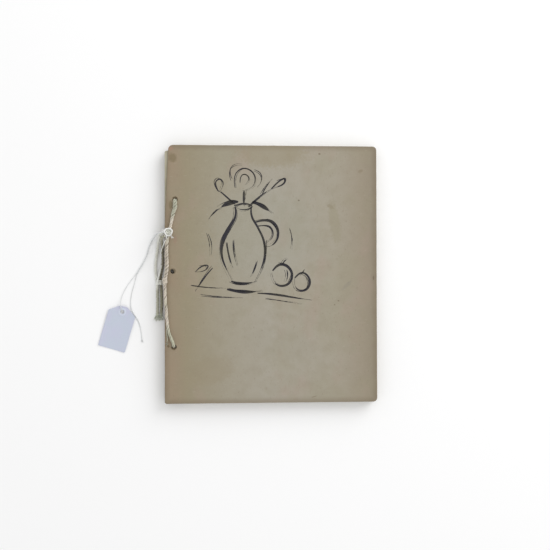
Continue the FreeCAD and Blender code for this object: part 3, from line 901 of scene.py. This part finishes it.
LOOSE_PLY_ROUTE = [
    (2.9, -48.6, 13.8), (2.2, -53.0, 13.2), (1.9, -57.4, 12.75), (2.7, -62.8, 12.65),
    (2.4, -67.2, 12.7),
]
OUTER_END_ROUTE = [
    (2.0, 41.9, 13.6), (-2.8, 40.6, 14.6), (-4.8, 37.4, 11.2), (-5.9, 33.2, 6.6),
    (-6.8, 28.0, 2.8), (-7.7, 21.8, 1.5), (-8.8, 14.8, 1.5), (-9.4, 7.6, 1.5),
    (-9.0, 0.6, 1.5), (-8.0, -5.8, 1.5), (-7.5, -12.8, 1.5), (-7.5, -20.8, 1.5),
    (-7.2, -30.0, 1.5), (-7.6, -40.4, 1.5),
]
INNER_END_ROUTE = [
    (2.0, 38.4, 13.6), (-2.4, 36.6, 14.4), (-3.2, 33.0, 10.2), (-2.7, 29.2, 5.6),
    (-2.3, 24.6, 2.5), (-2.0, 18.6, 1.5), (-2.1, 11.8, 1.5), (-2.9, 5.4, 1.5),
    (-4.2, -0.8, 1.5), (-4.8, -6.8, 1.5), (-3.9, -13.8, 1.5), (-3.5, -21.6, 1.5),
    (-3.3, -30.4, 1.5), (-3.9, -40.2, 1.5),
]
TWINE_ROUTE = [
    (-0.2, 41.0, 16.9), (-4.6, 40.4, 17.0), (-7.8, 39.4, 13.0), (-9.6, 38.2, 8.0),
    (-10.8, 36.4, 3.6), (-12.8, 33.0, 0.9), (-15.6, 27.4, 0.9), (-17.2, 19.8, 0.9),
    (-20.5, 12.6, 0.9), (-24.3, 6.4, 0.9), (-28.0, 0.1, 0.9),
]
LEFT_STRAND_ROUTE = [
    (-28.4, 0.3, 0.9), (-33.7, -6.5, 0.5), (-39.0, -14.2, 0.5), (-42.3, -21.6, 0.7),
    (-43.5, -27.6, 2.0), (-43.3, -32.2, 3.1), (-42.0, -35.6, 3.1), (-41.8, -37.0, 1.4),
    (-40.6, -37.9, 0.5), (-37.9, -37.7, 0.5), (-34.6, -36.0, 0.5),
]
RIGHT_STRAND_ROUTE = [
    (-27.6, -0.1, 0.9), (-28.9, -4.8, 0.5), (-30.5, -11.0, 0.5), (-32.7, -18.2, 0.5),
    (-33.8, -25.4, 0.5), (-33.9, -32.2, 0.5), (-31.3, -38.7, 0.5), (-26.6, -45.0, 0.5),
    (-24.2, -52.4, 0.5), (-23.2, -59.2, 0.5), (-22.6, -65.0, 0.5),
]
# How far the lacing has flattened sideways, at places along the spine
LACING_SPREAD = [
    (-72.0, 1.15), (-45.0, 1.0), (-37.0, 1.2), (-12.0, 1.15), (-3.0, 1.3), (2.0, 1.6),
    (20.0, 1.55), (27.0, 1.25), (44.0, 1.0), (51.0, 1.0), (59.0, 1.5), (66.0, 1.8), (74.0, 1.5),
]
CORD, TWINE, STRAND = 2.8 * MM, 1.6 * MM, 0.8 * MM
# The knots have slipped this far with the lacing, from their places in the frame
KNOTS_AT = Vector((-0.3, -0.3, 0.0)) * MM


def spline_line(route, resolution=14):
    """The smooth line of a NURBS spline with the route's points as its control points."""
    curve = bpy.data.curves.new("route", "CURVE")
    curve.dimensions = "3D"
    spline = curve.splines.new("NURBS")
    spline.points.add(len(route) - 1)
    for point, (x, y, z) in zip(spline.points, route):
        point.co = (SPINE_X + x * MM, y * MM, z * MM, 1.0)
    spline.order_u = 3
    spline.use_endpoint_u = True
    spline.resolution_u = resolution
    holder = bpy.data.objects.new("route", curve)
    bpy.context.collection.objects.link(holder)
    depsgraph = bpy.context.evaluated_depsgraph_get()
    mesh = bpy.data.meshes.new_from_object(holder.evaluated_get(depsgraph))
    line = np.array([tuple(v.co) for v in mesh.vertices])
    bpy.data.meshes.remove(mesh)
    bpy.data.objects.remove(holder)
    bpy.data.curves.remove(curve)
    return line


def travelled_along(line):
    """How far along the line each of its points lies."""
    return np.concatenate([[0], np.cumsum(np.linalg.norm(np.diff(line, axis=0), axis=1))])


def even_line(line, step):
    """The line's points set an even step apart."""
    travelled = travelled_along(line)
    count = max(2, round(travelled[-1] / step))
    places = np.linspace(0, travelled[-1], count + 1)
    return np.stack([np.interp(places, travelled, line[:, k]) for k in range(3)], axis=1), places


def frames_along(line):
    """Tangents and untwisted normals along a line."""
    tangents = np.gradient(line, axis=0)
    tangents /= np.linalg.norm(tangents, axis=1)[:, None]
    normal = np.cross(tangents[0], (0.0, 0.0, 1.0))
    if np.linalg.norm(normal) < 1e-3:
        normal = np.cross(tangents[0], (0.0, 1.0, 0.0))
    normals = []
    for tangent in tangents:
        normal = normal - tangent * (normal @ tangent)
        normal /= np.linalg.norm(normal)
        normals.append(normal)
    normals = np.array(normals)
    return tangents, normals, np.cross(tangents, normals)


# UVs along a tube are in millimetres
UV_SCALE = 1000.0


def tube(line, radii, sides):
    """Vertices, faces and UVs of a closed round tube. UVs run round in x and along in y."""
    tangents, normals, binormals = frames_along(line)
    turns = np.arange(sides) * 2 * math.pi / sides
    rings = (
        line[:, None, :]
        + radii[:, None, None] * (np.cos(turns)[None, :, None] * normals[:, None, :]
                                  + np.sin(turns)[None, :, None] * binormals[:, None, :])
    )
    count = len(line)
    vertices = [*rings.reshape(-1, 3), line[0] - tangents[0] * radii[0] * 0.5,
                line[-1] + tangents[-1] * radii[-1] * 0.5]
    travelled = travelled_along(line)
    faces, uvs = [], []
    for i in range(count - 1):
        for j in range(sides):
            k = (j + 1) % sides
            faces.append((i * sides + j, i * sides + k, (i + 1) * sides + k, (i + 1) * sides + j))
            low, high = travelled[i] * UV_SCALE, travelled[i + 1] * UV_SCALE
            left, right = j / sides, (j + 1) / sides
            uvs += [(left, low), (right, low), (right, high), (left, high)]
    start, end, last = count * sides, count * sides + 1, (count - 1) * sides
    for j in range(sides):
        k = (j + 1) % sides
        faces += [(start, k, j), (end, last + j, last + k)]
        uvs += [(0, 0)] * 6
    return vertices, faces, uvs


def twisted_cord(
    name, line, diameter, plies, pitch, material, sides=8, step=0.55 * MM, wander=0.0, spread=()
):
    """A cord of plies laid round its line. Each ply is a closed tube.

    spread gives pairs of a place along y, in millimetres, and how much wider the cord lies there.
    """
    line, places = even_line(line, step)
    _, normals, binormals = frames_along(line)
    rng = np.random.default_rng(len(name) * 7 + plies)
    ply_radius = diameter / 2 * (0.5 if plies == 2 else 0.475)
    lay_radius = diameter / 2 - ply_radius
    widen = np.ones(len(line))
    if spread:
        on_cover = np.interp(line[:, 1] / MM, *zip(*spread))
        widen = np.where(line[:, 2] > TOP_Z, on_cover, 1)
    vertices, faces, uvs, sunk = [], [], [], []
    for ply in range(plies):
        bulge = 1 + 0.13 * np.sin(places / (3.1 * MM) + rng.uniform(0, 6)) \
            + 0.06 * np.sin(places / (1.3 * MM) + rng.uniform(0, 6))
        turn = places / pitch * 2 * math.pi + 2 * math.pi * ply / plies
        turn = turn + wander * np.sin(places / (9 * MM) + ply)
        centre = line + lay_radius * (
            (widen * np.cos(turn))[:, None] * normals + np.sin(turn)[:, None] * binormals
        )
        thickness = ply_radius * bulge * (0.6 + 0.4 * widen)
        v, f, uv = tube(centre, thickness, sides)
        first = len(vertices)
        vertices += v
        faces += [tuple(i + first for i in face) for face in f]
        uvs += [(u + ply * 3.7, w) for u, w in uv]
        rings = np.array(v[:-2]).reshape(len(line), sides, 3)
        reach = np.linalg.norm(rings - line[:, None], axis=2)
        sunk += [*(1 - reach / (diameter / 2 * widen[:, None])).ravel(), 0.0, 0.0]
    obj = mesh_object(name, vertices, faces, material)
    layer = obj.data.uv_layers.new(name="along")
    layer.data.foreach_set("uv", np.array(uvs, np.float32).ravel())
    depth = obj.data.attributes.new("sunk", "FLOAT", "POINT")
    depth.data.foreach_set("value", np.array(sunk, np.float32))
    return obj


def free_cord(
    name, route, diameter, plies, pitch, material, node, body, slot, frays=0, others=()
):
    """A free cord in place of its CAD tube, with its hairs and any frayed tip."""
    line = spline_line(route)
    piece = twisted_cord(name, line, diameter, plies, pitch, MATERIALS[material])
    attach(piece, body)
    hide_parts(node)
    on_it = list(others)
    if diameter > 1 * MM:
        on_it.append(hairs(piece, f"{name}_hairs", diameter, body, slot, material))
    if frays:
        tip, ahead = line[-1], line[-1] - line[-4]
        on_it.append(frayed_tip(f"{name}_tip", tip, ahead, diameter, frays, body, material))


def lacing():
    piece = twisted_cord(
        "lacing_cord", spline_line(LACING_ROUTE), CORD, 3, 8.5 * MM, MATERIALS["cord"],
        wander=0.5, spread=LACING_SPREAD,
    )
    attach(piece, "binding")
    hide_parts("lacing")
    hairs(piece, "lacing_hairs", CORD, "binding", "cotton_cord", "cord")


def loose_ply():
    """A ply of the lacing that came out of its lay above the foot hole and lies on the card."""
    line = spline_line(LOOSE_PLY_ROUTE)
    ply = twisted_cord("lacing_loose_ply", line, 1.15 * MM, 2, 4.0 * MM, MATERIALS["cord"])
    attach(ply, "binding")
    hairs(ply, "loose_ply_hairs", 1.15 * MM, "binding", "cotton_cord", "cord")
    tip, ahead = line[-1], line[-1] - line[-4]
    frayed_tip("loose_ply_tip", tip, ahead, 1.1 * MM, 18, "binding", "cord", TOP_Z)


def overhand_line(centre, radius, height, axis, phase=0.0, count=140):
    """The closed line of a tight overhand knot: radius across, height through, about an axis."""
    t = np.linspace(0, 2 * math.pi, count)
    spread = 2 + np.cos(3 * t)
    x = spread * np.cos(2 * t + phase) * radius / 3
    y = spread * np.sin(2 * t + phase) * radius / 3
    z = np.sin(3 * t) * height / 2
    turn = Vector((0, 0, 1)).rotation_difference(Vector(axis)).to_matrix()
    return np.stack([x, y, z], axis=1) @ np.array(turn).T + np.array(centre)


def knot(name, line, diameter, material, node, body, slot):
    piece = twisted_cord(name, line, diameter, 3, 6.5 * MM, MATERIALS[material], step=0.4 * MM)
    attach(piece, body)
    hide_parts(node)
    hairs(piece, f"{name}_hairs", diameter, body, slot, material)
    return piece


def knot_ply():
    """One ply of the free ends, drawn out of the knot that ties them."""
    route = [(-3.6, 8.6, 3.4), (-4.3, 4.4, 4.2), (-5.5, 0.2, 4.4), (-6.5, -3.6, 4.6),
             (-7.2, -7.4, 4.4)]
    ply = twisted_cord("end_knot_ply", spline_line(route), 2.0 * MM, 2, 5.0 * MM, MATERIALS["tied"])
    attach(ply, "binding")
    hairs(ply, "end_knot_ply_hairs", 1.5 * MM, "binding", "cotton_cord", "tied", 1.0)
    return ply


def loose_yarn():
    """A yarn that has come out of the tie, and falls over the edge onto the free ends."""
    route = [(1.0, 33.2, 14.6), (-0.4, 30.2, 14.8), (-1.9, 27.2, 11.2), (-3.4, 23.6, 6.2),
             (-4.4, 19.4, 3.9)]
    line = spline_line(route)
    yarn = twisted_cord("tie_loose_yarn", line, 0.9 * MM, 2, 3.0 * MM, MATERIALS["tied"])
    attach(yarn, "binding")


def tie_knot():
    centre = (tie_low + tie_high) / 2 + KNOTS_AT
    centre.z = tie_low.z + 2.35 * MM
    line = overhand_line(centre, 2.6 * MM, 2.3 * MM, (0.1, 0.15, 1.0), 0.6)
    knot("tie_knot_cord", line, 2.2 * MM, "end", "tie_knot", "binding", "cotton_cord")


def front_knot():
    low, high = corners("front_knot")
    centre = (low + high) / 2 + KNOTS_AT
    line = overhand_line(centre, 1.75 * MM, 4.6 * MM, (0.12, 1.0, 0.1), 0.3)
    knot("front_knot_cord", line, 2.0 * MM, "cord", "front_knot", "binding", "cotton_cord")


def end_knot():
    """Turns of the cord round its own two ends."""
    low, high = corners("end_knot")
    centre, size = (low + high) / 2, high - low
    t = np.linspace(0, 2.4 * 2 * math.pi, 150)
    thick = 1.8 * MM
    x = centre.x + (size.x - thick) / 2 * np.cos(t)
    z = np.maximum(centre.z + (size.z - thick) / 2 * np.sin(t), thick / 2 + 0.05 * MM)
    y = centre.y + (t / t[-1] - 0.5) * (size.y - thick * 1.4) + 0.5 * MM * np.sin(t + 0.8)
    line = np.stack([x, y, z], axis=1)
    return knot("end_knot_cord", line, thick, "tied", "end_knot", "binding", "cotton_cord")


def hitch():
    """Two turns of the twine round the knot's crown, and a tuck across them."""
    centre, size = (hitch_low + hitch_high) / 2 + KNOTS_AT, hitch_high - hitch_low
    thick = 1.05 * MM
    t = np.linspace(0.2, 2.15 * 2 * math.pi, 130)
    radius = (size.x - thick) / 2 + 0.22 * MM * np.sin(3 * t)
    x, y = centre.x - radius * np.cos(t), centre.y + radius * np.sin(t)
    z = centre.z + 0.75 * MM * np.sin(t * 0.5 + 0.3) - 0.1 * MM
    piece = twisted_cord(
        "hitch_turns", np.stack([x, y, z], axis=1), thick, 2, 3.4 * MM, MATERIALS["hitch"],
        step=0.35 * MM,
    )
    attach(piece, "ticket_twine")
    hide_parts("hitch_ring")
    hairs(piece, "hitch_hairs", thick, "ticket_twine", "ticket_string", "hitch", 1.2)
    # Loose threads: place across and along, how many, and their ground's height over the card
    threads = ((1.8, -3.0, 9, 0.0), (-2.9, 0.6, 7, -1.5), (-2.0, -3.0, 6, -1.5))
    for index, (x, y, count, ground) in enumerate(threads):
        start = np.array(centre) + np.array((x * MM, y * MM, 0.2 * MM))
        ahead = np.array((x, y, -0.4))
        frayed_tip(f"hitch_threads_{index + 1}", start, ahead, 1.9 * MM, count,
                   "ticket_twine", "hitch", TOP_Z + ground * MM)


# --- Ticket ---------------------------------------------------------------------------------

TICKET_HOLE = Vector((SPINE_X - 41.8 * MM, -37.0 * MM, 1.25 * MM))
TICKET_PLACE = (
    Matrix.Translation(TICKET_HOLE)
    @ Matrix.Rotation(math.radians(-16.5), 4, "Z")
    @ Matrix.Rotation(math.radians(1.8), 4, "X")
)


def ticket_card():
    half, top_half, head, shoulder, tail = (v * MM for v in (13.5, 3.5, 5.5, 1.5, 38.0))
    loop = [(-half, -tail), (half, -tail), (half, -shoulder), (top_half, head),
            (-top_half, head), (-half, -shoulder)]
    radii = [0.7, 0.9, 0.6, 0.5, 0.5, 0.6]
    outline = []
    for i, (corner, radius) in enumerate(zip(loop, radii)):
        outline += rounded_corner(corner, loop[i - 1], loop[(i + 1) % 6], radius * MM, 5)
    outline = divided(outline, 1.5 * MM)
    plan = SheetPlan(
        outline, [((0, 0), 2.0 * MM)], np.arange(-half, half, 1.5 * MM),
        np.arange(-tail, head, 1.5 * MM), edge_rings=(0.15 * MM,), hole_rings=(0.2 * MM,),
    )
    thick = 0.4 * MM

    def curl(x, y):
        """The card's sides are up a little, more so at its foot."""
        return 0.35 * MM * (x / half) ** 2 * np.clip(-y / tail, 0, 1)

    card = solid_sheet(
        "ticket_blank", plan, lambda x, y: curl(x, y) + thick, curl, MATERIALS["ticket"]
    )
    card.data.transform(TICKET_PLACE)
    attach(card, "ticket")
    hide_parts("ticket_card")


def ticket_ring():
    outer, inner = 4.0 * MM, 2.0 * MM
    plan = SheetPlan(circle((0, 0), outer, 40), [((0, 0), inner)], [0.0], [0.0], (0.2 * MM,))
    low, high = 0.4 * MM, 0.55 * MM

    def top(x, y):
        off = np.hypot(x, y)
        edge = np.minimum(outer - off, off - inner)
        return high - 0.08 * MM * (1 - smoothstep(edge / (0.2 * MM)))

    ring = solid_sheet("ticket_washer", plan, top, lambda x, y: low + 0 * x, MATERIALS["ring"])
    ring.data.transform(TICKET_PLACE)
    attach(ring, "ticket")
    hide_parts("ticket_ring")


# --- The drawing on the cover ---------------------------------------------------------------

# Brush strokes of a still life: points in millimetres, widest place, how dry the brush ran
STROKES = [
    ([(-36, 66), (-34, 58), (-41, 47), (-49, 33), (-50, 18), (-44, 3), (-38, -8)], 3.1, 0.05),
    ([(-20, 66), (-21, 58), (-14, 47), (-7, 33), (-6, 18), (-11, 3), (-17, -8)], 2.3, 0.18),
    ([(-37, 67), (-30, 70), (-22, 69), (-18, 66), (-25, 63), (-34, 64), (-37, 68)], 1.5, 0.25),
    ([(-40, -7), (-29, -12), (-15, -7)], 2.6, 0.1),
    ([(-16, 51), (-4, 55), (6, 47), (7, 35), (-1, 26), (-8, 27)], 2.9, 0.1),
    ([(-13, 47), (-4, 49), (2, 43), (1, 34), (-6, 30)], 1.3, 0.45),
    ([(-44, 31), (-43, 17), (-38, 6)], 1.7, 0.4),
    ([(-38, 33), (-38, 19), (-34, 8)], 1.2, 0.6),
    ([(-15, 12), (-17, 4), (-21, -3)], 1.1, 0.6),
    ([(-36, 85), (-38, 96), (-30, 105), (-20, 103), (-15, 94), (-19, 84), (-29, 82)], 1.2, 0.5),
    ([(-31, 90), (-31, 97), (-25, 99), (-21, 93), (-26, 88)], 1.1, 0.45),
    ([(-40, 92), (-43, 101), (-36, 108), (-29, 107)], 0.9, 0.75),
    ([(-17, 103), (-10, 101), (-9, 91), (-14, 86)], 0.9, 0.7),
    ([(-27, 82), (-28, 75), (-27, 67)], 2.1, 0.12),
    ([(-52, 81), (-57, 89), (-51, 95), (-46, 88), (-51, 81)], 1.4, 0.35),
    ([(-50, 81), (-43, 75), (-33, 66)], 1.5, 0.25),
    ([(-23, 66), (-13, 77), (0, 84)], 1.5, 0.3),
    ([(0, 84), (6, 91), (15, 96), (12, 87), (0, 84)], 1.7, 0.2),
    ([(-9, 79), (-5, 88), (1, 94)], 1.2, 0.5),
    ([(-33, 71), (-42, 72), (-52, 64)], 4.4, 0.04),
    ([(-19, 71), (-9, 69), (0, 60)], 4.0, 0.04),
    ([(-52, 64), (-58, 60), (-62, 54)], 1.4, 0.5),
    ([(1, 3), (6, 10), (15, 9), (21, 1), (19, -9), (10, -13), (2, -9), (0, 1)], 2.7, 0.1),
    ([(10, 8), (12, 13), (16, 15)], 1.3, 0.25),
    ([(15, 4), (17, -2), (14, -8)], 1.2, 0.55),
    ([(23, -4), (28, 2), (35, 0), (39, -8), (35, -16), (27, -17), (22, -11), (23, -4)], 2.3, 0.15),
    ([(30, 0), (33, 5)], 1.1, 0.3),
    ([(-79, -11), (-64, -14), (-45, -14)], 1.2, 0.6),
    ([(-44, -15), (-28, -19), (-10, -17)], 3.4, 0.35),
    ([(-14, -19), (4, -20), (24, -24), (40, -26)], 1.9, 0.28),
    ([(-70, -20), (-52, -23), (-30, -23)], 0.9, 0.75),
    ([(-6, -24), (12, -27), (30, -30)], 0.9, 0.7),
    ([(-58, 6), (-66, -2), (-75, -17)], 1.5, 0.45),
    ([(-75, 2), (-70, 8), (-61, 9), (-66, 2), (-75, 2)], 1.3, 0.35),
    ([(-64, 40), (-60, 30), (-61, 18)], 0.9, 0.8),
    ([(18, 44), (22, 34), (20, 24)], 0.9, 0.8),
]


def restated():
    """Every stroke, and beside it thin dry lines where the brush felt for the shape."""
    rng = random.Random(31)
    strokes = list(STROKES)
    for points, width, _ in STROKES:
        for _ in range(2 if width > 2 else 1):
            dx, dy = rng.uniform(-1.9, 1.9), rng.uniform(-1.5, 1.5)
            loose = [(x + dx + rng.uniform(-0.9, 0.9), y + dy + rng.uniform(-0.9, 0.9))
                     for x, y in points]
            first = rng.randint(0, max(0, len(loose) - 4))
            strokes.append((loose[first:], rng.uniform(0.5, 0.95), rng.uniform(0.55, 0.9)))
    return strokes


def stroke_line(points):
    route = [(x - SPINE_X / MM, y, 0.0) for x, y in points]
    line, _ = even_line(spline_line(route, resolution=10), 0.7 * MM)
    return line


def drawing():
    """All the strokes as one thin film of ink just over the card."""
    rng = random.Random(12)
    vertices, faces, uvs = [], [], []
    for points, width, dryness in restated():
        line = stroke_line(points)
        share = np.linspace(0, 1, len(line))
        pressed = np.sin(np.clip(share * 1.12 + 0.06, 0, 1) * math.pi) ** 0.45
        waver = 1 + 0.14 * np.sin(share * rng.uniform(6, 14) + rng.uniform(0, 6))
        half = np.maximum(width * MM / 2 * pressed * waver, 0.14 * MM)
        along = np.gradient(line[:, :2], axis=0)
        along /= np.linalg.norm(along, axis=1)[:, None]
        side = np.stack([-along[:, 1], along[:, 0]], axis=1)
        dry = np.clip(dryness + (share - 0.45) * 0.35, 0, 1)
        first = len(vertices)
        for place, across, reach in zip(line[:, :2], side, half):
            for step in (-1, 0, 1):
                x, y = place + across * reach * step
                lift = float(cover_lift(np.array([x]), np.array([y]))[0])
                vertices.append((x, y, TOP_Z + lift + 0.035 * MM))
        for i in range(len(line) - 1):
            a, b = first + i * 3, first + (i + 1) * 3
            for k in (0, 1):
                faces.append((a + k, b + k, b + k + 1, a + k + 1))
                left, right = k / 2, (k + 1) / 2
                uvs += [(left, dry[i]), (left, dry[i + 1]), (right, dry[i + 1]), (right, dry[i])]
    film = mesh_object("cover_drawing", vertices, faces, MATERIALS["ink"])
    layer = film.data.uv_layers.new(name="stroke")
    layer.data.foreach_set("uv", np.array(uvs, np.float32).ravel())
    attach(film, "front_cover")


# --- Build ----------------------------------------------------------------------------------

front_board()
back_board()
plan = leaf_plan()
for index, node in enumerate(LEAVES):
    leaf(plan, node, index, len(LEAVES))

drawing()

lacing()
loose_ply()
tie_knot()
front_knot()
tied = [end_knot(), knot_ply()]
loose_yarn()
hitch()
free_cord("outer_end_cord", OUTER_END_ROUTE, CORD, 3, 8.5 * MM, "end", "outer_end", "binding",
          "cotton_cord", 34, tied)
free_cord("inner_end_cord", INNER_END_ROUTE, CORD, 3, 8.5 * MM, "inner", "inner_end", "binding",
          "cotton_cord", 34, tied)
free_cord("ticket_twine_cord", TWINE_ROUTE, TWINE, 2, 5.5 * MM, "string", "ticket_twine",
          "ticket_twine", "ticket_string")
free_cord("left_strand_cord", LEFT_STRAND_ROUTE, STRAND, 2, 2.8 * MM, "string", "left_strand",
          "ticket_twine", "ticket_string")
free_cord("right_strand_cord", RIGHT_STRAND_ROUTE, STRAND, 2, 2.8 * MM, "string",
          "right_strand", "ticket_twine", "ticket_string", 14)
ticket_card()
ticket_ring()


# --- Stage ----------------------------------------------------------------------------------


def floor():
    size = 3.0
    vertices = [(-size, -size, 0), (size, -size, 0), (size, size, 0), (-size, size, 0)]
    ground = mesh_object("floor", vertices, [(0, 1, 2, 3)], MATERIALS["floor"], smooth=False)


def area_light(name, place, size, power):
    """A round lamp that faces the middle of the book."""
    lamp = bpy.data.lights.new(name, "AREA")
    lamp.shape, lamp.size, lamp.energy = "DISK", size, power
    obj = bpy.data.objects.new(name, lamp)
    obj.location = place
    obj.rotation_euler = (-Vector(place)).to_track_quat("-Z", "Y").to_euler()
    bpy.context.collection.objects.link(obj)


def world():
    sky = bpy.data.worlds.new("studio")
    sky.use_nodes = True
    sky.node_tree.nodes["Background"].inputs["Color"].default_value = (1.0, 1.0, 1.0, 1.0)
    sky.node_tree.nodes["Background"].inputs["Strength"].default_value = 0.84
    bpy.context.scene.world = sky


def camera():
    lens = bpy.data.cameras.new("camera")
    lens.lens, lens.sensor_width = 66.37, 36.0
    lens.clip_start, lens.clip_end = 0.01, 20.0
    view = bpy.data.objects.new("camera", lens)
    view.location = (-0.0742, -0.0164, 1.0099)
    view.rotation_euler = [math.radians(a) for a in (0.889, -4.441, -0.139)]
    bpy.context.collection.objects.link(view)
    bpy.context.scene.camera = view


floor()
world()
area_light("key", (1.07, 1.07, 0.98), 1.5, 16.4)
camera()
bpy.context.scene.view_settings.view_transform = "Standard"
